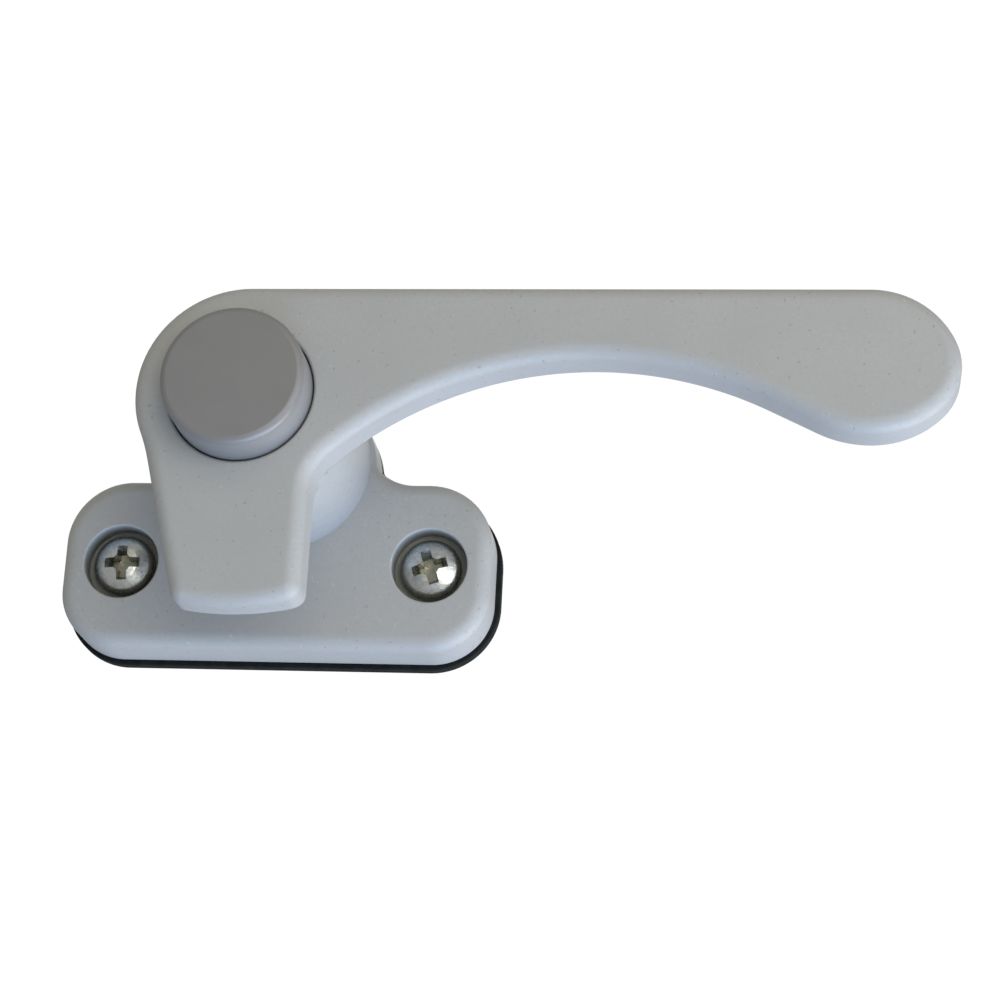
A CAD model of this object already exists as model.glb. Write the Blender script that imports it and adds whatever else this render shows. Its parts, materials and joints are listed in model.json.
"""Looks of the window sash handle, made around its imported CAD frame.

Pieces are shaped in the plan frame, in millimetres: x right, y up, and z = height off the
window frame. seat() then stands each one upright in the row frame, in metres.
"""

import json
import math

import bmesh
import bpy
import numpy as np
from mathutils import Matrix, Vector
from mathutils.geometry import delaunay_2d_cdt


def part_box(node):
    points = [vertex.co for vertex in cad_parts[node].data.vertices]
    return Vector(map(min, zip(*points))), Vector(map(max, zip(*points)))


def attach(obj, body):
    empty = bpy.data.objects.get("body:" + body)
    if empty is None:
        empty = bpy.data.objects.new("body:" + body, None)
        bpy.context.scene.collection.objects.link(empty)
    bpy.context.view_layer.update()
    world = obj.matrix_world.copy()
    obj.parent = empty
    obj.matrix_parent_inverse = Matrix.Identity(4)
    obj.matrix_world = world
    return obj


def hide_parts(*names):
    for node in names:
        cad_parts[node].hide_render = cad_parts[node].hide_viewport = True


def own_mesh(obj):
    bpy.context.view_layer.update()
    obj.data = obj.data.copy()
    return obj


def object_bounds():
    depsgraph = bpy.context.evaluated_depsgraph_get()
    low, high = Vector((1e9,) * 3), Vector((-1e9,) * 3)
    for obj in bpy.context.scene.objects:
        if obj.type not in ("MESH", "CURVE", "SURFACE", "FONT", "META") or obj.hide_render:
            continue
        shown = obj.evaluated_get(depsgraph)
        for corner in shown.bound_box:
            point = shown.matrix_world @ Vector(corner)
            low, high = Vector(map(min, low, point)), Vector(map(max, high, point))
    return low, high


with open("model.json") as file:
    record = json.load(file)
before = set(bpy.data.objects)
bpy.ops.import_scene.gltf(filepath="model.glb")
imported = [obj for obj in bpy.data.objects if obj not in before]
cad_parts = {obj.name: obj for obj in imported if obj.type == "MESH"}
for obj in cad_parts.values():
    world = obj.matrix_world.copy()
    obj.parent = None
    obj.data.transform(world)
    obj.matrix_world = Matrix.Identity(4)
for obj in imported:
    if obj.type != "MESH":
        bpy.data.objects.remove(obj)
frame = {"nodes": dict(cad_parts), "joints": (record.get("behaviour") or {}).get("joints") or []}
CAD_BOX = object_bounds()
MM = 0.001
STAND_UP = Matrix.Scale(MM, 4) @ Matrix.Rotation(math.radians(90), 4, "X")


# ---- Sizes that come from the frame, in the plan frame's millimetres ----


def plan_box(node):
    """Lowest and highest corner of a CAD node."""
    low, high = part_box(node)
    return Vector((low.x, low.z, -high.y)) / MM, Vector((high.x, high.z, -low.y)) / MM


def joint(name):
    """The frame's entry for a joint."""
    return next(j for j in frame["joints"] if j["name"] == name)


PIVOT = Vector((joint("lever_swing")["pos_m"][0], joint("lever_swing")["pos_m"][2])) / MM
BASE_LOW, BASE_HIGH = plan_box("base_casting")
GASKET_LOW, GASKET_HIGH = plan_box("base_gasket")
LEVER_LOW, LEVER_HIGH = plan_box("lever_handle")
BUTTON_LOW, BUTTON_HIGH = plan_box("push_button")
SCREW_LOW, SCREW_HIGH = plan_box("mounting_screw_left")
FACE = LEVER_HIGH.z
BARREL_TOP = BASE_HIGH.z
HUB_BACK = LEVER_LOW.z
HUB_FLOOR = plan_box("spindle")[1].z - 1.5  # the spindle's flat head lies on it
GASKET_T = GASKET_HIGH.z


# ---- Sizes that several pieces share ----

PLATE_TOP = GASKET_T + 8.5
SEAT_DEPTH = 3.6  # from the plate's top down to the screw heads' seats
RECESS_R = 5.8
SCREW_X = (SCREW_LOW.x + SCREW_HIGH.x) / 2
SCREWS = [(SCREW_X, 0), (-SCREW_X, 0)]
WALL = 2.5  # of the plate's hollow back
HEAD_R, HEAD_T, SHANK_R = 4.7, 3.3, 2.4
LEVER_T, TONGUE_T, TONGUE_RIGHT = 7, 9, 10.6
LOCK_CIRCLE = 7.5  # radius that the lock pin, detent ball and stop pin lie on
LOCK_ANGLE, BALL_ANGLE, STOP_ANGLE, LEG_ANGLE, SWING = 20, 70, 262, 120, 90
EDGE_BAND = 0.4  # flat ring beside a rounded edge
CREASE = 35  # degrees from which an edge is shaded sharp


# ---- Outlines ----


def unit(angle):
    """Unit vector in a direction given in degrees."""
    turn = math.radians(angle)
    return np.array((math.cos(turn), math.sin(turn)))


def heading(start, end):
    """Direction from one point to another, from 0 to 360 degrees."""
    return math.degrees(math.atan2(end[1] - start[1], end[0] - start[0])) % 360


def arc(centre, radius, start, end, step=0.6):
    """Points along an arc from one angle to another, at most step apart."""
    count = max(2, math.ceil(abs(math.radians(end - start)) * radius / step))
    turns = np.linspace(start, end, count + 1)
    return [np.asarray(centre) + radius * unit(turn) for turn in turns]


def spaced(points, step=0.8):
    """A closed outline with its long sides divided and its double points left out."""
    out = []
    for i, point in enumerate(points):
        after = points[(i + 1) % len(points)]
        length = np.linalg.norm(after - point)
        if length < 0.05:
            continue
        count = max(1, round(length / step))
        out += [point + (after - point) * k / count for k in range(count)]
    return np.array(out)


def lever_outline():
    """Hub, tongue and lever around the pivot: arcs that run into one another."""
    top = LEVER_HIGH.y - PIVOT.y
    reach = LEVER_HIGH.x - PIVOT.x
    tongue_r = PIVOT.y - LEVER_LOW.y
    neck_x, neck_bottom = 50.8, 5.6
    hub_r, arch_r, crook_r, flank_r = 16.2, 56, 8, 30
    crown_r, nose_r, heel_r, belly_r = 13.2, 8.8, 14.2, 17
    tip_r, right_tip_r = 2.2, 2.6
    flank_top, flank_lean, crown_end, nose_end = 203, 14.6, 22, -45

    hub = np.array((0.3, top - hub_r))
    arch = np.array((neck_x, neck_bottom - arch_r))
    nose = np.array((reach - nose_r, top - crown_r + (crown_r - nose_r) * unit(crown_end)[1]))
    crown = nose - (crown_r - nose_r) * unit(crown_end)
    heel = nose - (heel_r - nose_r) * unit(nose_end)
    belly = heel + np.array((0, belly_r - heel_r))
    to_belly = heading(arch, belly)
    lean = math.degrees(math.acos((arch_r + belly_r) / np.linalg.norm(belly - arch)))
    crook_x = TONGUE_RIGHT + crook_r
    crook_y = arch[1] + math.sqrt((arch_r - crook_r) ** 2 - (arch[0] - crook_x) ** 2)
    crook = np.array((crook_x, crook_y))
    flank = hub + (hub_r + flank_r) * unit(flank_top)
    across = (flank + flank_r * unit(flank_lean)) @ unit(flank_lean) + tip_r
    down = math.sqrt((tongue_r - tip_r) ** 2 - across**2)
    tip = across * unit(flank_lean) + down * unit(flank_lean - 90)
    right_x = TONGUE_RIGHT - right_tip_r
    right_tip = np.array((right_x, -math.sqrt((tongue_r - right_tip_r) ** 2 - right_x**2)))
    origin = np.zeros(2)
    points = (
        arc(hub, hub_r, 90, flank_top)
        + arc(flank, flank_r, flank_top - 180, flank_lean)
        + arc(tip, tip_r, flank_lean + 180, heading(origin, tip), 0.15)
        + arc(origin, tongue_r, heading(origin, tip), heading(origin, right_tip))
        + arc(right_tip, right_tip_r, heading(origin, right_tip), 360, 0.25)
        + arc(crook, crook_r, 180, heading(arch, crook), 0.4)
        + arc(arch, arch_r, heading(arch, crook), to_belly + lean)
        + arc(belly, belly_r, to_belly + lean - 180, -90)
        + arc(heel, heel_r, -90, nose_end)
        + arc(nose, nose_r, nose_end, crown_end)
        + arc(crown, crown_r, crown_end, 90)
    )
    return spaced([point + np.array(PIVOT) for point in points])


def crossing(first, first_r, second, second_r, side):
    """Where two circles cross, on the given side of the line from the first to the second."""
    between = second - first
    apart = np.linalg.norm(between)
    along = (apart**2 + first_r**2 - second_r**2) / (2 * apart)
    across = math.sqrt(first_r**2 - along**2) * side
    return first + (between * along + np.array((-between[1], between[0])) * across) / apart


def plate_outline(lip=0.0, upper=10.0, lower=9.3):
    """Two lobes with a hump between them that follows the barrel. A lip makes the lobes larger."""
    half_w, half_h, hump_r = BASE_HIGH.x + lip, -BASE_LOW.y + lip, 14.5
    blend, blend_r = np.array((20.8, -BASE_LOW.y + 8)), 8 - lip
    hump = np.array(PIVOT)
    corner = crossing(hump, hump_r, blend, blend_r, -1)
    side = arc((half_w - lower, lower - half_h), lower, -90, 0)
    side += arc((half_w - upper, half_h - upper), upper, 0, 90)
    side += arc(blend, blend_r, 270, heading(blend, corner), 0.4)
    side += arc(hump, hump_r, (heading(hump, corner) + 180) % 360 - 180, 90)
    mirrored = [point * (-1, 1) for point in reversed(side)]
    return spaced(side + mirrored)


def soften(corners, step=12.0):
    """Open line through (across, height, radius) corners, each rounded by its radius."""
    out = []
    for i, (x, y, radius) in enumerate(corners):
        point = np.array((x, y), float)
        if not radius:
            out.append(point)
            continue
        before = np.array(corners[i - 1][:2]) - point
        after = np.array(corners[i + 1][:2]) - point
        before, after = before / np.linalg.norm(before), after / np.linalg.norm(after)
        half = math.acos(max(-1, min(1, before @ after))) / 2
        middle = (before + after) / np.linalg.norm(before + after)
        centre = point + middle * radius / math.sin(half)
        start = heading(centre, point + before * radius / math.tan(half))
        end = heading(centre, point + after * radius / math.tan(half))
        sweep = (end - start + 180) % 360 - 180
        count = max(2, math.ceil(abs(sweep) / step))
        out += [centre + radius * unit(start + sweep * k / count) for k in range(count + 1)]
    return out


# ---- Meshes ----


def new_object(name, bm):
    """The bmesh as an object, with its faces turned outwards."""
    bmesh.ops.remove_doubles(bm, verts=bm.verts, dist=1e-4)
    bmesh.ops.dissolve_degenerate(bm, edges=bm.edges, dist=1e-5)
    bmesh.ops.recalc_face_normals(bm, faces=bm.faces)
    mesh = bpy.data.meshes.new(name)
    bm.to_mesh(mesh)
    bm.free()
    piece = bpy.data.objects.new(name, mesh)
    bpy.context.scene.collection.objects.link(piece)
    return piece


def bridge(bm, first, second):
    """Quads between two closed loops of as many vertices."""
    count = len(first)
    for i in range(count):
        j = (i + 1) % count
        bm.faces.new((first[i], first[j], second[j], second[i]))


def even_fill(bm, loops, spacing=4.0):
    """Fills the flat region inside the first loop and outside the others with even triangles."""
    height = loops[0][0].co.z
    rim = [vert for loop in loops for vert in loop]
    flat = np.array([vert.co[:2] for vert in rim])
    low, high = flat.min(0), flat.max(0)
    row_gap = spacing * 0.866  # height of an even triangle
    columns = np.arange(low[0], high[0], spacing)
    rows = np.arange(low[1], high[1], row_gap)
    grid = [(x + spacing / 2 * (k % 2), y) for k, y in enumerate(rows) for x in columns]
    grid = [p for p in grid if np.hypot(*(flat - p).T).min() > spacing * 0.45]
    points = [Vector(p) for p in [*flat, *grid]]
    edges, start = [], 0
    for loop in loops:
        count = len(loop)
        edges += [(start + i, start + (i + 1) % count) for i in range(count)]
        start += count
    spots, _, faces, sources, _, _ = delaunay_2d_cdt(points, edges, [], 1, 1e-6)
    holes = [np.array([vert.co[:2] for vert in loop]) for loop in loops[1:]]
    made = {}

    def vertex(index):
        if index not in made:
            known = [s for s in sources[index] if s < len(rim)]
            made[index] = rim[known[0]] if known else bm.verts.new((*spots[index], height))
        return made[index]

    for face in faces:
        middle = sum((spots[i] for i in face), Vector((0, 0))) / len(face)
        if any(encloses(hole, middle) for hole in holes):
            continue
        bm.faces.new([vertex(i) for i in face])


def encloses(loop, point):
    """True if a closed loop of points goes round the point."""
    x, y = point
    ahead = np.roll(loop, -1, axis=0)
    crosses = (loop[:, 1] > y) != (ahead[:, 1] > y)
    share = (y - loop[crosses, 1]) / (ahead[crosses, 1] - loop[crosses, 1])
    at = loop[crosses, 0] + share * (ahead[crosses, 0] - loop[crosses, 0])
    return int((at > x).sum()) % 2 == 1


def inward(points):
    """Inward normals of a closed counterclockwise outline."""
    along = np.roll(points, -1, axis=0) - np.roll(points, 1, axis=0)
    along /= np.linalg.norm(along, axis=1)[:, None]
    return np.stack((-along[:, 1], along[:, 0]), axis=1)


def room(points, normals, reach):
    """How much of reach each point can move inwards, from 0 to 1, before it meets the far side."""
    ahead = np.roll(points, -1, axis=0) - points
    low, high = np.zeros(len(points)), np.full(len(points), float(reach))
    halvings, slack, margin, evenings = 12, 0.02, 0.96, 6
    for _ in range(halvings):
        middle = (low + high) / 2
        moved = points + normals * middle[:, None]
        away = moved[:, None] - points[None]
        along = np.clip((away * ahead).sum(2) / (ahead**2).sum(1), 0, 1)
        nearest = np.linalg.norm(away - along[..., None] * ahead, axis=2).min(1)
        free = nearest > middle - slack
        low, high = np.where(free, middle, low), np.where(free, high, middle)
    share = np.minimum(1, low * margin / reach)
    share[low > reach * 0.98] = 1
    for _ in range(evenings):
        beside = (np.roll(share, 1) + np.roll(share, -1)) / 2
        share = np.minimum(share, (share + beside) / 2)
    return share


def slab(name, outline, rings, wells=()):
    """A solid of an outline. rings are (inset, height) pairs from back to front, and each well
    is a round pocket in the front: its centre and the (radius, height) rings down to its floor."""
    bm = bmesh.new()
    normals = inward(outline)
    share = room(outline, normals, max(inset for inset, _ in rings))[:, None]
    loops = []
    for inset, height in rings:
        flat = outline + normals * inset * share
        loops.append([bm.verts.new((x, y, height)) for x, y in flat])
    for first, second in zip(loops, loops[1:]):
        bridge(bm, first, second)
    mouths = []
    for centre, profile in wells:
        mouth, floor = well(bm, centre, profile)
        mouths.append(mouth)
        even_fill(bm, [floor])
    even_fill(bm, [loops[-1], *mouths])
    even_fill(bm, [loops[0]])
    return new_object(name, bm)


def well(bm, centre, profile):
    """The wall of a round pocket, and its first and last loop."""
    count = max(48, math.ceil(2 * math.pi * profile[0][0] / 0.6))
    turns = [unit(360 * i / count) for i in range(count)]
    loops = [
        [bm.verts.new((*(np.asarray(centre) + radius * turn), height)) for turn in turns]
        for radius, height in profile
    ]
    for first, second in zip(loops, loops[1:]):
        bridge(bm, first, second)
    return loops[0], loops[-1]


def lathe(name, profile, centre=(0, 0), count=96):
    """A solid turned from (radius, height) points. A line that starts and ends on the axis is
    closed by it, and any other line closes on itself."""
    bm = bmesh.new()
    turns = [unit(360 * i / count) for i in range(count)]
    loops = []
    for radius, height in profile:
        if radius < 1e-6:
            loops.append([bm.verts.new((*centre, height))])
        else:
            flat = [np.asarray(centre) + radius * turn for turn in turns]
            loops.append([bm.verts.new((*point, height)) for point in flat])
    pairs = list(zip(loops, loops[1:]))
    if len(loops[0]) > 1:
        pairs.append((loops[-1], loops[0]))
    for first, second in pairs:
        if len(first) > 1 and len(second) > 1:
            bridge(bm, first, second)
        elif len(first) + len(second) > 2:
            tip, loop = (first[0], second) if len(first) == 1 else (second[0], first)
            for i, vert in enumerate(loop):
                bm.faces.new((tip, vert, loop[(i + 1) % count]))
    return new_object(name, bm)


def cylinder(radius, low, high, centre=(0, 0), count=64):
    """A plain round cutter or block for the booleans."""
    return lathe("cylinder", [(0, low), (radius, low), (radius, high), (0, high)], centre, count)


def prism(outline, low, high):
    """A straight solid of an outline of points."""
    bm = bmesh.new()
    loops = [[bm.verts.new((*point, height)) for point in outline] for height in (low, high)]
    bridge(bm, *loops)
    bm.faces.new(loops[0])
    bm.faces.new(loops[1])
    return new_object("prism", bm)


def tube(name, line, radius, sides=10):
    """A round wire along a line of points."""
    bm = bmesh.new()
    points = [Vector(point) for point in line]
    loops = []
    for i, point in enumerate(points):
        along = (points[min(i + 1, len(points) - 1)] - points[max(i - 1, 0)]).normalized()
        across = along.cross(Vector((0, 0, 1))).normalized()
        up = across.cross(along)
        turns = [radius * unit(360 * k / sides) for k in range(sides)]
        loops.append(
            [bm.verts.new(point + across * float(c) + up * float(s)) for c, s in turns]
        )
    for first, second in zip(loops, loops[1:]):
        bridge(bm, first, second)
    bm.faces.new(loops[0])
    bm.faces.new(loops[-1])
    return new_object(name, bm)


def combine(target, others, operation="DIFFERENCE"):
    """Cuts the others from the target, or adds them to it, and uses them up."""
    for other in others:
        modifier = target.modifiers.new("combine", "BOOLEAN")
        modifier.solver = "EXACT"
        modifier.operation = operation
        modifier.object = other
    apply_modifiers(target)
    for other in others:
        bpy.data.objects.remove(other)
    return target


def apply_modifiers(piece):
    """Turns what the modifiers show into the piece's own mesh."""
    graph = bpy.context.evaluated_depsgraph_get()
    mesh = bpy.data.meshes.new_from_object(piece.evaluated_get(graph))
    piece.modifiers.clear()
    piece.data = mesh
    mesh.name = piece.name


def mend(bm):
    """Merges points that lie together and closes the slits that booleans leave between them."""
    bmesh.ops.remove_doubles(bm, verts=bm.verts, dist=0.02)
    bmesh.ops.dissolve_degenerate(bm, edges=bm.edges, dist=0.01)
    fill_holes(bm)
    bmesh.ops.delete(bm, geom=[edge for edge in bm.edges if edge.is_wire], context="EDGES")
    bmesh.ops.recalc_face_normals(bm, faces=bm.faces)


def fill_holes(bm):
    """Closes every open edge loop with a face."""
    bmesh.ops.holes_fill(bm, edges=[edge for edge in bm.edges if edge.is_boundary])


def smooth(piece):
    """Mends a mesh and gives it smooth shading with sharp creases, and flat faces kept flat."""
    bm = bmesh.new()
    bm.from_mesh(piece.data)
    mend(bm)
    for face in bm.faces:
        face.smooth = True
    for edge in bm.edges:
        edge.smooth = edge.calc_face_angle(0) < math.radians(CREASE)
    bm.to_mesh(piece.data)
    bm.free()
    weigh = piece.modifiers.new("weigh", "WEIGHTED_NORMAL")
    weigh.keep_sharp = True
    apply_modifiers(piece)


def seat(piece, body, node, material):
    """Puts a finished piece in the row frame, on its body, in place of its CAD node."""
    piece.data.transform(STAND_UP)
    piece.data.materials.clear()
    piece.data.materials.append(material)
    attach(piece, body)
    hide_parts(node)
    return piece


def edge_rings(back, front, back_r, front_r):
    """The rings of a slab whose back and front edges are rounded."""
    return soften(
        [(back_r + EDGE_BAND, back, 0), (0, back, back_r), (0, front, front_r),
         (front_r + EDGE_BAND, front, 0)]
    )


def pocket_rings(radius, rim, mouth, floor, foot):
    """The rings of a round pocket with a rounded rim and foot."""
    return soften(
        [(radius + rim + EDGE_BAND, mouth, 0), (radius, mouth, rim), (radius, floor, foot),
         (radius - foot - EDGE_BAND, floor, 0)]
    )


def on_lock_circle(angle):
    """A point as far from the pivot as the lock's pieces."""
    return np.array(PIVOT) + LOCK_CIRCLE * unit(angle)


# ---- The base ----


def base_casting(material):
    """Plate with two screw recesses and the barrel, cored out from behind."""
    barrel_r, barrel_foot, screw_hole_r, bush_hole_r = 13.9, GASKET_T + 1, 2.7, 5.5
    recess = pocket_rings(RECESS_R, 0.3, PLATE_TOP, PLATE_TOP - SEAT_DEPTH, 0.3)
    rings = edge_rings(GASKET_T, PLATE_TOP, 0.3, 2.2)
    piece = slab("base_plate_casting", plate_outline(), rings, [(at, recess) for at in SCREWS])
    barrel = soften(
        [(0, barrel_foot, 0), (barrel_r, barrel_foot, 0), (barrel_r, BARREL_TOP, 0.4),
         (0, BARREL_TOP, 0)]
    )
    combine(piece, [lathe("barrel", barrel, PIVOT, 128)], "UNION")
    combine(piece, [plate_core(), barrel_core()])
    holes = [cylinder(screw_hole_r, 0, PLATE_TOP, at) for at in SCREWS]
    holes.append(cylinder(bush_hole_r, 5, BARREL_TOP + 1, PIVOT))
    holes += [pin_hole(LOCK_ANGLE + turn) for turn in (0, SWING)]
    holes += [dimple(BALL_ANGLE + turn) for turn in (0, SWING)]
    combine(piece, holes)
    smooth(piece)
    return seat(piece, "base", "base_casting", material)


def plate_core():
    """The hollow behind the plate, which leaves the screw bosses and the barrel's foot."""
    half_w, half_h = BASE_HIGH.x - WALL, -BASE_LOW.y - WALL
    corner, screw_boss_r, barrel_foot_r = 7, 7.6, 14
    outline = []
    for quarter, (x, y) in enumerate(((1, 1), (-1, 1), (-1, -1), (1, -1))):
        centre = (x * (half_w - corner), y * (half_h - corner))
        outline += arc(centre, corner, 90 * quarter, 90 * quarter + 90)
    core = prism(outline, GASKET_T - 1, PLATE_TOP - WALL)
    kept = [cylinder(screw_boss_r, 0, PLATE_TOP, at) for at in SCREWS]
    kept.append(cylinder(barrel_foot_r, 0, PLATE_TOP, PIVOT))
    return combine(core, kept)


def barrel_core():
    """The hollow behind the barrel's front, around the tube that holds the bushes."""
    tube_r, tube_end, wall_r, back, front = 7.3, 12, 11.5, 1, BARREL_TOP - 6
    ring = [(tube_r, tube_end), (tube_r, front), (wall_r, front), (wall_r, back), (0, back),
            (0, tube_end)]
    return lathe("core", ring, PIVOT)


def pin_hole(angle):
    """Cutter of a hole in the barrel's front that the lock pin enters."""
    return cylinder(1.7, BARREL_TOP - 3, BARREL_TOP + 1, on_lock_circle(angle))


def dimple(angle):
    """Cutter of a shallow bowl in the barrel's front that the detent ball rests in."""
    bowl = arc((0, BARREL_TOP + 1.3), 1.8, -90, 90, 0.2)
    return lathe("dimple", bowl, on_lock_circle(angle), 24)


def gasket(material):
    """Rubber seal, a little larger than the plate."""
    edge_r, hole_r = 0.25, 2.5
    outline = plate_outline(lip=GASKET_HIGH.x - BASE_HIGH.x, upper=12, lower=10.5)
    piece = slab("rubber_gasket", outline, edge_rings(0, GASKET_T, edge_r, edge_r))
    combine(piece, [cylinder(hole_r, -1, GASKET_T + 1, at) for at in SCREWS])
    smooth(piece)
    return seat(piece, "base", "base_gasket", material)


# ---- Screws ----


def cross_recess(top, turn):
    """Cutter of a cross recess: four wings that narrow downwards, around a tapered middle."""
    wing, span, depth = 0.78, 2.85, 2.4
    # Height, and how much longer and wider than wing and span a wing is there
    levels = ((0.6, 0.06, 0.06), (-0.25, 0, 0), (-depth, -1.1, -0.12))
    cutters = []
    for side in (0, 90):
        bm = bmesh.new()
        loops = []
        for height, longer, wider in levels:
            x, y = span + longer, wing + wider
            corners = [(x, -y), (x, y), (-x, y), (-x, -y)]
            loops.append([bm.verts.new((*corner, height)) for corner in corners])
        for first, second in zip(loops, loops[1:]):
            bridge(bm, first, second)
        bm.faces.new(loops[0])
        bm.faces.new(loops[-1])
        cutters.append(new_object("wing", bm))
        cutters[-1].data.transform(Matrix.Rotation(math.radians(side), 4, "Z"))
    middle = [(0, 0.6), (1.65, 0.6), (1.4, -0.3), (1.1, -depth), (0, -depth - 0.3)]
    cutters.append(lathe("middle", middle, count=24))
    cutter = combine(cutters[0], cutters[1:], "UNION")
    turned = Matrix.Rotation(math.radians(turn), 4, "Z")
    cutter.data.transform(Matrix.Translation((0, 0, top)) @ turned)
    return cutter


def screw_head(seat_height):
    """Pan head: an upright rim, a rounded shoulder and a low dome."""
    top = seat_height + HEAD_T
    rim, shoulder_r, shoulder_drop, dome_edge, dome_r = 1.5, 4.1, 1.15, 2.6, 9.5
    dome_end = 90 - math.degrees(math.asin(dome_edge / dome_r))
    dome = arc((0, top - dome_r), dome_r, 90, dome_end, 0.3)
    side = soften(
        [(dome_edge, dome[-1][1], 0), (shoulder_r, top - shoulder_drop, 1.5),
         (HEAD_R, seat_height + rim, 0.5), (HEAD_R, seat_height, 0.25), (0, seat_height, 0)]
    )
    return lathe("head", dome + side[1:])


def screw_shank(low, high):
    """Thread of one helical ridge that runs out under the head and at the tip."""
    pitch, root, point_r, point, sides = 1.6, 1.75, 0.3, 3.0, 32
    thread_end, run_out = -0.4, 0.8
    # Share of a turn, and share of the thread's height there
    ridge = ((0.0, 0.0), (0.36, 1.0), (0.46, 1.0), (0.82, 0.0))
    turns = math.ceil((high - low) / pitch) + 1
    rows = [((turn + along) * pitch, rise) for turn in range(-1, turns) for along, rise in ridge]
    bm = bmesh.new()
    loops = []
    for offset, rise in rows:
        loop = []
        for side in range(sides + 1):
            z = min(max(low + offset + pitch * side / sides, low), high)
            taper = min(1, (z - low) / point)
            fade = min(1, max(0, (thread_end - z) / run_out))
            radius = point_r + (root - point_r) * taper + rise * (SHANK_R - root) * min(taper, fade)
            loop.append(bm.verts.new((*(radius * unit(360 * side / sides)), z)))
        loops.append(loop)
    for first, second in zip(loops, loops[1:]):
        for side in range(sides):
            bm.faces.new((first[side], first[side + 1], second[side + 1], second[side]))
    bmesh.ops.remove_doubles(bm, verts=bm.verts, dist=1e-4)
    bmesh.ops.dissolve_degenerate(bm, edges=bm.edges, dist=1e-4)
    fill_holes(bm)
    return new_object("shank", bm)


def screw(name, place, turn, material):
    """Pan head screw in its seat, with its cross recess turned by the given angle."""
    seat_height = PLATE_TOP - SEAT_DEPTH
    piece = screw_head(seat_height)
    piece.name = f"cross_head_screw_{name}"
    combine(piece, [cross_recess(seat_height + HEAD_T, turn)])
    combine(piece, [screw_shank(SCREW_LOW.z, seat_height + 0.5)], "UNION")
    piece.data.transform(Matrix.Translation((*place, 0)))
    smooth(piece)
    return seat(piece, "base", f"mounting_screw_{name}", material)


# ---- The lever ----


def lever_casting(material):
    """Hub, tongue and lever in one casting, with the button's bore and the lock's works."""
    bore_r, boss_r, boss_front = 10.68, 13.6, FACE - 5.5
    outline = lever_outline()
    bore = pocket_rings(bore_r, 0.5, FACE, HUB_FLOOR, 0.3)
    rings = edge_rings(FACE - LEVER_T, FACE, 0.8, 2.1)
    piece = slab("lever_casting", outline, rings, [(PIVOT, bore)])
    boss = soften([(0, HUB_BACK, 0), (boss_r, HUB_BACK, 0.4), (boss_r, boss_front, 0), (0, boss_front, 0)])
    combine(piece, [lathe("boss", boss, PIVOT, 128), tongue_root(outline)], "UNION")
    combine(piece, [tip_lead_in(), *hub_works()])
    smooth(piece)
    return seat(piece, "lever", "lever_handle", material)


def tongue_root(outline):
    """Extra thickness behind the tongue."""
    low, high, inset = FACE - TONGUE_T, FACE - LEVER_T + 1, 0.6
    piece = prism(outline + inward(outline) * inset, low, high)
    past_tip = LEVER_LOW.y - PIVOT.y - 5
    window = box(PIVOT, 0, (-30, past_tip, low - 1), (TONGUE_RIGHT, -1, high + 1))
    return combine(piece, [window], "INTERSECT")


def tip_lead_in():
    """Wedge that leaves a slope behind the tongue's tip."""
    back, start, run, slope = FACE - TONGUE_T, LEVER_LOW.y + 6.2, 10, 0.7
    below, end = back - 2, start - run
    corners = [(start, back), (start, below), (end, below), (end, back + run * slope)]
    bm = bmesh.new()
    loops = [[bm.verts.new((x, y, z)) for y, z in corners] for x in (-30, 30)]
    bridge(bm, *loops)
    bm.faces.new(loops[0])
    bm.faces.new(loops[1])
    return new_object("lead_in", bm)


def hub_works():
    """Cutters of the holes in the hub's floor for the spindle, pin, ball, stop and button legs."""
    low, high = HUB_BACK - 1, HUB_FLOOR + 1
    half_square, hole_r, ball_depth = 3.5, 1.55, 6.6
    cutters = [
        box(PIVOT, 0, (-half_square, -half_square, low), (half_square, half_square, high)),
        cylinder(hole_r, low, high, on_lock_circle(LOCK_ANGLE), 32),
        cylinder(hole_r, low, low + ball_depth, on_lock_circle(BALL_ANGLE), 32),
        stop_slot(low),
    ]
    for turn in (0, 180):
        cutters.append(box(PIVOT, LEG_ANGLE + turn, (6, -2.2, low), (8, 2.2, high)))
        cutters.append(box(PIVOT, LEG_ANGLE + turn, (5.8, -2.4, low), (8.9, 2.4, FACE - 7)))
    return cutters


def box(centre, turn, low, high):
    """A block between two corners, turned round a centre."""
    corners = [(low[0], low[1]), (high[0], low[1]), (high[0], high[1]), (low[0], high[1])]
    across, up = unit(turn), unit(turn + 90)
    return prism([np.array(centre) + x * across + y * up for x, y in corners], low[2], high[2])


def stop_slot(low):
    """Arc slot with round ends that the stop pin runs in."""
    half, centre = 1.4, np.array(PIVOT)
    first, last = STOP_ANGLE - SWING, STOP_ANGLE
    outline = arc(centre, LOCK_CIRCLE + half, first, last)
    outline += arc(on_lock_circle(last), half, last, last + 180, 0.3)[1:-1]
    outline += arc(centre, LOCK_CIRCLE - half, last, first)
    outline += arc(on_lock_circle(first), half, first + 180, first + 360, 0.3)[1:-1]
    return prism(outline, low, low + 4)


# ---- The button ----


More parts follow.
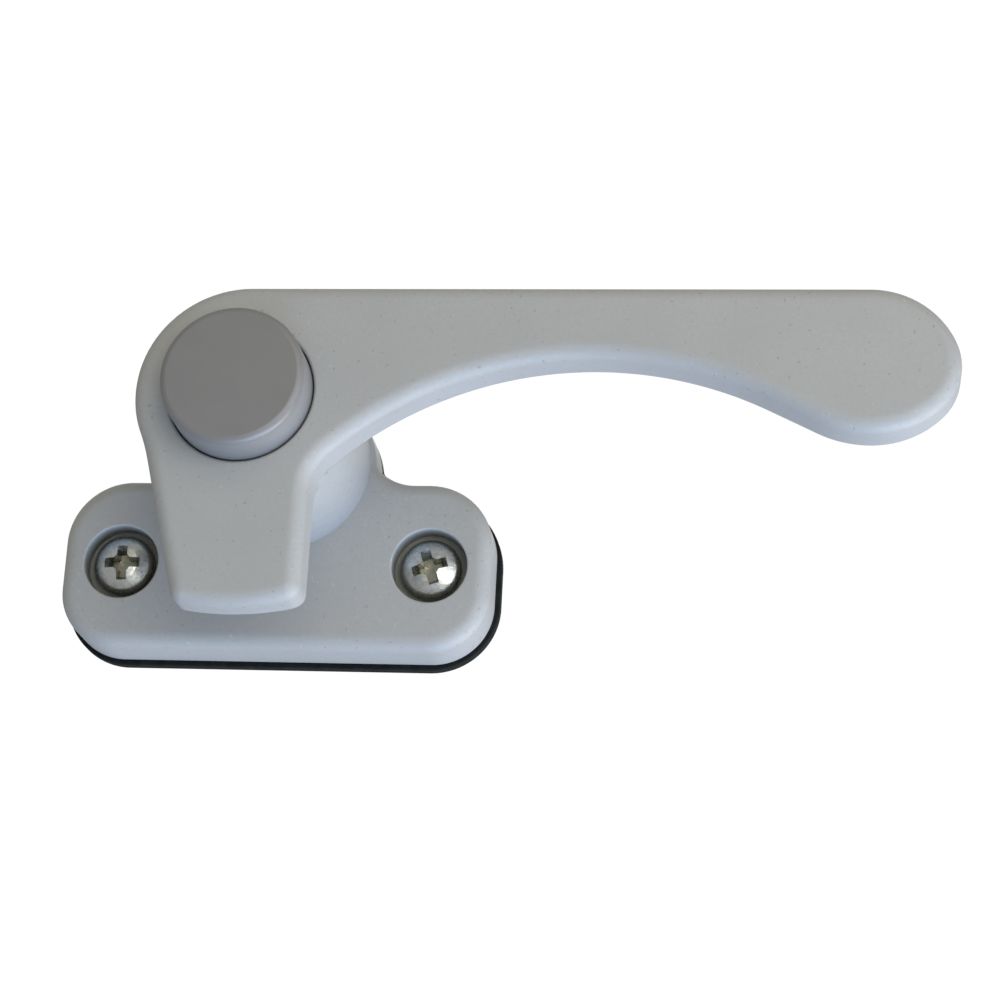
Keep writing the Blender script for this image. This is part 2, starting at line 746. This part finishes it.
def button(material):
    """Moulded shell with a soft edge, two snap legs and the lock pin's boss."""
    radius, wall, draft, crown = (BUTTON_HIGH.x - BUTTON_LOW.x) / 2, 1.8, 0.05, 0.06
    skirt, top = FACE - 1.2, BUTTON_HIGH.z
    inside = top - wall
    shell = soften(
        [(0, top, 0), (radius - draft, top - crown, 1.1), (radius, skirt, 0.15),
         (radius - wall, skirt, 0.15), (radius - wall, inside, 0.5), (0, inside, 0)]
    )
    piece = lathe("push_button_cap", shell, PIVOT, 128)
    pin_place, pin_r, boss_r, spigot_r = on_lock_circle(LOCK_ANGLE), 1.5, 2.4, 2.8
    boss = cylinder(boss_r, inside - 4, inside + 0.5, pin_place, 32)
    spigot = cylinder(spigot_r, inside - 1.5, inside + 0.5, PIVOT, 32)
    combine(piece, [boss, spigot, *button_legs(inside)], "UNION")
    combine(piece, [cylinder(pin_r, inside - 5, inside - 0.01, pin_place, 32)])
    smooth(piece)
    return seat(piece, "button", "push_button", material)


def button_legs(inside):
    """Legs that hook behind the shoulder in the hub's floor."""
    tip = FACE - 8.4
    legs = []
    for turn in (0, 180):
        legs.append(box(PIVOT, LEG_ANGLE + turn, (6.2, -2, tip), (7.8, 2, inside + 0.5)))
        legs.append(box(PIVOT, LEG_ANGLE + turn, (7, -2, tip), (8.6, 2, FACE - 7.2)))
    return legs


# ---- Springs and the wave washer ----


def coil(name, centre, coil_r, wire_r, low, high, turns):
    """Compression spring whose end turns lie closed."""
    steps, closed = 28, 1.2 * wire_r
    low, high = low + wire_r, high - wire_r
    line = []
    for i in range(turns * steps + 1):
        turn = i / steps
        height = np.interp(turn, (0, 1, turns - 1, turns), (low, low + closed, high - closed, high))
        line.append((*(np.asarray(centre) + coil_r * unit(360 * turn)), height))
    return tube(name, line, wire_r)


def button_spring(material):
    """Spring that the button squashes when it is pushed."""
    low, high = (corner.z for corner in plan_box("button_spring"))
    piece = coil("button_return_spring", PIVOT, 3.65, 0.35, low, high, 5)
    smooth(piece)
    seat(piece, "lever", "button_spring", material)
    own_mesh(piece)
    return piece


def detent_spring(material):
    """Spring behind the detent ball."""
    low, high = (corner.z for corner in plan_box("detent_spring"))
    piece = coil("detent_coil", on_lock_circle(BALL_ANGLE), 1.15, 0.19, low, high, 5)
    smooth(piece)
    return seat(piece, "lever", "detent_spring", material)


def wave_washer(material):
    """Thin ring pressed into three waves."""
    low, high = plan_box("wave_washer")
    inner, outer, half, waves, count = 4.3, 7.0, 0.15, 3, 96
    middle, rise = (low.z + high.z) / 2, (high.z - low.z) / 2 - half
    bm = bmesh.new()
    loops = []
    for radius, offset in ((inner, -half), (outer, -half), (outer, half), (inner, half)):
        loop = []
        for i in range(count):
            angle = 360 * i / count
            height = middle + offset + rise * math.sin(math.radians(waves * angle))
            loop.append(bm.verts.new((*(np.array(PIVOT) + radius * unit(angle)), height)))
        loops.append(loop)
    for first, second in zip(loops, loops[1:] + loops[:1]):
        bridge(bm, first, second)
    piece = new_object("wave_washer_ring", bm)
    smooth(piece)
    return seat(piece, "lever", "wave_washer", material)


# ---- Materials ----


class Look:
    """A material's node tree, with its texture coordinates in millimetres."""

    def __init__(self, name, colour, roughness, metallic=0.0):
        self.material = bpy.data.materials.new(name)
        self.material.use_nodes = True
        self.nodes = self.material.node_tree.nodes
        self.links = self.material.node_tree.links
        self.shader = self.nodes["Principled BSDF"]
        self.shader.inputs["Base Color"].default_value = (*colour, 1)
        self.shader.inputs["Roughness"].default_value = roughness
        self.shader.inputs["Metallic"].default_value = metallic
        where = self.nodes.new("ShaderNodeTexCoord")
        scale = self.nodes.new("ShaderNodeVectorMath")
        scale.operation = "SCALE"
        scale.inputs["Scale"].default_value = 1 / MM
        self.links.new(where.outputs["Object"], scale.inputs[0])
        self.millimetres = scale.outputs[0]

    def noise(self, size, detail=2.0, roughness=0.5, seed=0.0):
        """Noise whose cells are about size millimetres across, from 0 to 1."""
        place = self.nodes.new("ShaderNodeVectorMath")
        place.inputs[1].default_value = (seed * 17, seed * 29, seed * 41)
        self.links.new(self.millimetres, place.inputs[0])
        node = self.nodes.new("ShaderNodeTexNoise")
        node.inputs["Scale"].default_value = 1 / size
        node.inputs["Detail"].default_value = detail
        node.inputs["Roughness"].default_value = roughness
        self.links.new(place.outputs[0], node.inputs["Vector"])
        return node.outputs["Fac"]

    def cloud(self, low, high, size, detail=2.0, roughness=0.5, seed=0.0):
        """Noise stretched so that its usual values run from low to high."""
        return self.remap(self.noise(size, detail, roughness, seed), 0.3, 0.7, low, high)

    def height(self):
        """Millimetres off the window frame."""
        node = self.nodes.new("ShaderNodeSeparateXYZ")
        self.links.new(self.millimetres, node.inputs[0])
        flip = self.nodes.new("ShaderNodeMath")
        flip.operation = "MULTIPLY"
        flip.inputs[1].default_value = -1
        self.links.new(node.outputs["Y"], flip.inputs[0])
        return flip.outputs[0]

    def in_screw_recess(self):
        """How deep in a screw's recess a point is, from 0 at its mouth to 0.6 at its foot."""
        value = self.millimetres
        for operation, vector in (
            ("ABSOLUTE", (0, 0, 0)), ("MULTIPLY", (1, 0, 1)), ("DISTANCE", (-SCREW_X, 0, 0))
        ):
            node = self.nodes.new("ShaderNodeVectorMath")
            node.operation = operation
            node.inputs[1].default_value = vector
            self.links.new(value, node.inputs[0])
            value = node.outputs["Value" if operation == "DISTANCE" else "Vector"]
        both = self.nodes.new("ShaderNodeMath")
        both.operation = "MULTIPLY"
        self.links.new(self.remap(value, RECESS_R + 0.2, RECESS_R, 0, 1), both.inputs[0])
        depth = self.remap(self.height(), PLATE_TOP - 0.2, PLATE_TOP - 1.5, 0, 0.6)
        self.links.new(depth, both.inputs[1])
        return both.outputs[0]

    def remap(self, value, from_low, from_high, to_low, to_high):
        """Moves a value from one range to another, and clamps it there."""
        node = self.nodes.new("ShaderNodeMapRange")
        for name, number in zip(
            ("From Min", "From Max", "To Min", "To Max"), (from_low, from_high, to_low, to_high)
        ):
            node.inputs[name].default_value = number
        self.links.new(value, node.inputs["Value"])
        return node.outputs["Result"]

    def mix(self, factor, first, second):
        """Mix of two colours, each a colour or another node's output."""
        node = self.nodes.new("ShaderNodeMix")
        node.data_type = "RGBA"
        self.links.new(factor, node.inputs["Factor"])
        for name, colour in (("A", first), ("B", second)):
            socket = next(s for s in node.inputs if s.name == name and s.type == "RGBA")
            if isinstance(colour, tuple):
                socket.default_value = (*colour, 1)
            else:
                self.links.new(colour, socket)
        return next(s for s in node.outputs if s.type == "RGBA")

    def bump(self, height, depth, after=None):
        """Adds relief of that many millimetres, on top of any relief before it."""
        node = self.nodes.new("ShaderNodeBump")
        node.inputs["Distance"].default_value = depth * MM
        self.links.new(height, node.inputs["Height"])
        if after is not None:
            self.links.new(after, node.inputs["Normal"])
        self.links.new(node.outputs["Normal"], self.shader.inputs["Normal"])
        return node.outputs["Normal"]

    def set(self, name, source):
        """Drives one of the shader's inputs."""
        self.links.new(source, self.shader.inputs[name])


def shade(colour, factor):
    """A lighter or darker colour of the same hue."""
    return tuple(channel * factor for channel in colour)


def enamel():
    """Light grey paint on a casting: fine mottling, tiny light and dark specks, low relief."""
    grey = (0.335, 0.342, 0.345)
    look = Look("grey_enamel", grey, 0.5)
    mottled = look.mix(look.cloud(0, 1, 14, 3), shade(grey, 0.965), shade(grey, 1.03))
    grain = look.remap(look.noise(0.55, 3, 0.6, 2), 0.35, 0.7, 0, 0.5)
    grained = look.mix(grain, mottled, shade(grey, 0.9))
    dark = look.remap(look.noise(0.7, 1, 0.5, 5), 0.71, 0.75, 0, 0.42)
    light = look.remap(look.noise(0.6, 1, 0.5, 9), 0.72, 0.76, 0, 0.36)
    dusty = look.mix(dark, grained, shade(grey, 0.45))
    speckled = look.mix(light, dusty, shade(grey, 1.4))
    look.set("Base Color", look.mix(look.in_screw_recess(), speckled, (0.085, 0.09, 0.07)))
    look.set("Roughness", look.cloud(0.46, 0.58, 1.2, 2, 0.5, 3))
    look.shader.inputs["Specular IOR Level"].default_value = 0.45
    peel = look.bump(look.noise(1.6, 2, 0.5, 7), 0.012)
    look.bump(look.noise(0.22, 2, 0.6, 4), 0.006, peel)
    return look.material


def button_plastic():
    """Mid grey moulding with a fine grain, a little lighter down its side."""
    grey = (0.155, 0.155, 0.156)
    look = Look("grey_moulding", grey, 0.38)
    look.shader.inputs["Specular IOR Level"].default_value = 0.8
    mottled = look.mix(look.cloud(0, 1, 5, 3), shade(grey, 0.97), shade(grey, 1.03))
    side = look.remap(look.height(), BUTTON_HIGH.z - 0.5, BUTTON_HIGH.z - 1.6, 0, 1)
    look.set("Base Color", look.mix(side, mottled, shade(grey, 1.3)))
    look.set("Roughness", look.cloud(0.38, 0.46, 0.5, 2, 0.5, 3))
    look.bump(look.noise(0.16, 2, 0.6, 4), 0.004)
    return look.material


def rubber():
    """Matt black rubber with a little dust."""
    black = (0.006, 0.007, 0.007)
    look = Look("black_rubber", black, 0.7)
    look.shader.inputs["Specular IOR Level"].default_value = 0.12
    dusty = look.remap(look.noise(1.5, 4, 0.6), 0.4, 0.8, 0, 1)
    look.set("Base Color", look.mix(dusty, black, shade(black, 2.2)))
    look.bump(look.noise(0.35, 3, 0.6, 4), 0.02)
    return look.material


def screw_metal():
    """Bright zinc plate with a few stains, duller low on the head and in the cross recess."""
    bright = (0.62, 0.64, 0.65)
    look = Look("bright_zinc", bright, 0.2, 1.0)
    stain = look.remap(look.noise(0.9, 4, 0.7), 0.45, 0.75, 0, 1)
    stained = look.mix(stain, bright, (0.42, 0.41, 0.34))
    top = PLATE_TOP - SEAT_DEPTH + HEAD_T
    deep = look.remap(look.height(), top - 0.8, top - 2.1, 0, 1)
    look.set("Base Color", look.mix(deep, stained, (0.27, 0.27, 0.22)))
    look.set("Roughness", look.cloud(0.22, 0.4, 0.7, 3, 0.6, 3))
    look.bump(look.noise(0.9, 2, 0.6, 4), 0.05)
    return look.material


def steel():
    """Zinc plated steel of the inner parts."""
    grey = (0.56, 0.57, 0.58)
    look = Look("plated_steel", grey, 0.32, 1.0)
    dull = look.remap(look.noise(1.5, 4, 0.6), 0.35, 0.7, 0, 1)
    look.set("Base Color", look.mix(dull, grey, shade(grey, 0.8)))
    look.set("Roughness", look.cloud(0.26, 0.4, 0.3, 2, 0.6, 3))
    look.bump(look.noise(0.25, 2, 0.6, 4), 0.004)
    return look.material


def acetal():
    """Ivory plastic of the bushes and the thrust washer."""
    ivory = (0.78, 0.75, 0.66)
    look = Look("natural_acetal", ivory, 0.4)
    look.set("Base Color", look.mix(look.cloud(0, 1, 2.5), ivory, shade(ivory, 0.94)))
    look.bump(look.noise(0.3, 2, 0.6, 4), 0.004)
    return look.material


def finish_inner_nodes(metal, plastic):
    """Gives the CAD nodes that no piece replaces their materials."""
    for names, material in (
        (("stop_pin", "spindle", "back_washer", "retaining_ring", "detent_ball", "lock_pin"), metal),
        (("front_bush", "rear_bush", "thrust_washer"), plastic),
    ):
        for name in names:
            for slot in frame["nodes"][name].material_slots:
                slot.material = material


# ---- Stage ----


def camera():
    """Below and a little to the right of the front, turned a few degrees about its own axis."""
    right = Vector((0.99223, 0.11382, 0.05029))
    back = Vector((0.12396, -0.93948, -0.31940))
    turned = Matrix((right, back.cross(right), back)).transposed()
    data = bpy.data.cameras.new("camera")
    data.lens = 97.2
    data.clip_start = 0.01
    eye = bpy.data.objects.new("camera", data)
    eye.matrix_world = Matrix.Translation((0.0854, -0.3976, -0.1210)) @ turned.to_4x4()
    bpy.context.scene.collection.objects.link(eye)
    bpy.context.scene.camera = eye


def floor():
    """Plain pale floor, well under the object."""
    bm = bmesh.new()
    bmesh.ops.create_grid(bm, x_segments=8, y_segments=8, size=3)
    mesh = bpy.data.meshes.new("floor")
    bm.to_mesh(mesh)
    bm.free()
    look = Look("pale_floor", (0.86, 0.86, 0.86), 0.7)
    look.set("Base Color", look.mix(look.noise(40, 2), (0.85, 0.85, 0.85), (0.87, 0.87, 0.87)))
    mesh.materials.append(look.material)
    ground = bpy.data.objects.new("floor", mesh)
    ground.location.z = -0.9
    bpy.context.scene.collection.objects.link(ground)


def soft_light(name, azimuth, elevation, watts):
    """Large area light that faces the object's middle. watts is its power in red, green and blue."""
    distance, size = 0.7, 0.45
    data = bpy.data.lights.new(name, "AREA")
    data.size, data.energy = size, max(watts)
    data.color = [channel / max(watts) for channel in watts]
    lamp = bpy.data.objects.new(name, data)
    target = (CAD_BOX[0] + CAD_BOX[1]) / 2
    across, up = unit(azimuth), unit(elevation)
    lamp.location = target + distance * Vector((across[1] * up[0], -across[0] * up[0], up[1]))
    lamp.rotation_mode = "QUATERNION"
    lamp.rotation_quaternion = (target - lamp.location).to_track_quat("-Z", "Y")
    bpy.context.scene.collection.objects.link(lamp)


def studio():
    """White surroundings that light the object only dimly, and soft lights around it."""
    world = bpy.data.worlds.new("surroundings")
    world.use_nodes = True
    nodes, links = world.node_tree.nodes, world.node_tree.links
    seen, unseen = nodes["Background"], nodes.new("ShaderNodeBackground")
    seen.inputs["Color"].default_value = (1, 1, 1, 1)
    seen.inputs["Strength"].default_value = 1.02
    unseen.inputs["Color"].default_value = (0.86, 0.87, 0.84, 1)
    unseen.inputs["Strength"].default_value = 0.5
    path, choice = nodes.new("ShaderNodeLightPath"), nodes.new("ShaderNodeMixShader")
    links.new(path.outputs["Is Camera Ray"], choice.inputs[0])
    links.new(unseen.outputs[0], choice.inputs[1])
    links.new(seen.outputs[0], choice.inputs[2])
    links.new(choice.outputs[0], nodes["World Output"].inputs["Surface"])
    bpy.context.scene.world = world
    bpy.context.scene.view_settings.view_transform = "Standard"
    for name, azimuth, elevation, watts in (
        ("below", 60, -65, (1.85, 2.8, 4.5)),
        ("side", 110, -40, (3.4, 3.2, 2.8)),
        ("right", 60, -5, (1.42, 1.52, 1.76)),
        ("front", 20, -5, (1.72, 1.68, 1.5)),
        ("high", 20, 25, (0.8, 0.65, 0.45)),
        ("back", 190, 25, (1.5, 1.5, 1.6)),
    ):
        soft_light(name, azimuth, elevation, watts)


def build():
    """Every piece and its material."""
    paint, metal, plastic = enamel(), steel(), acetal()
    base_casting(paint)
    gasket(rubber())
    bright = screw_metal()
    screw("left", SCREWS[0], 2, bright)
    screw("right", SCREWS[1], 18, bright)
    lever_casting(paint)
    button(button_plastic())
    button_spring(metal)
    detent_spring(metal)
    wave_washer(metal)
    finish_inner_nodes(metal, plastic)


build()
camera()
floor()
studio()
